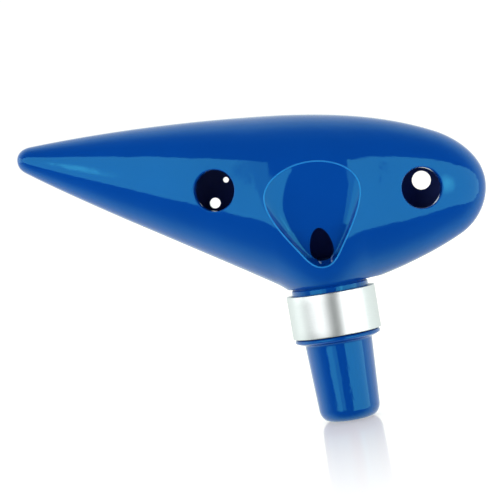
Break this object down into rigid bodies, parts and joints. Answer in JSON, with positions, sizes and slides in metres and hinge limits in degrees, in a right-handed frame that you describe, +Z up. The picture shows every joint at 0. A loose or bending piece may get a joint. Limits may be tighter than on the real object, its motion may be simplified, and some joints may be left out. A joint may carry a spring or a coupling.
{
  "type": "ocarina",
  "caption": "Transverse ocarina: a hollow clamshell chamber with thumb and finger holes, a voicing window, and a mouthpiece that plugs into a ringed neck and slides off.",
  "frame": {"origin": "centre of the bounding box's bottom, level with the mouthpiece's blowing end", "axes": "+Z up along the mouthpiece, +X from the tail towards the wide end, -Y out of the underside with the thumb holes and the window"},
  "size_m": [0.1744, 0.0434, 0.1222],
  "materials": {
    "blue_gloss_plastic": "high-gloss moulded plastic",
    "blue_inner_plastic": "as-moulded plastic",
    "satin_aluminium": "fine satin",
    "black_rubber": "soft matt"
  },
  "bodies": {
    "mouthpiece_group": {"mouthpiece": "blue_gloss_plastic", "windway_core": "blue_inner_plastic", "tenon_seal_lower": "black_rubber", "tenon_seal_upper": "black_rubber"},
    "chamber_group": {"thumb_shell": "blue_gloss_plastic", "finger_shell": "blue_gloss_plastic", "windway_block": "blue_inner_plastic", "ferrule": "satin_aluminium"}
  },
  "joints": [
    {"name": "mouthpiece_slide", "type": "slide", "parent": "mouthpiece_group", "child": "chamber_group", "axis": [0, 0, 1], "range_m": [0, 0.018]}
  ]
}
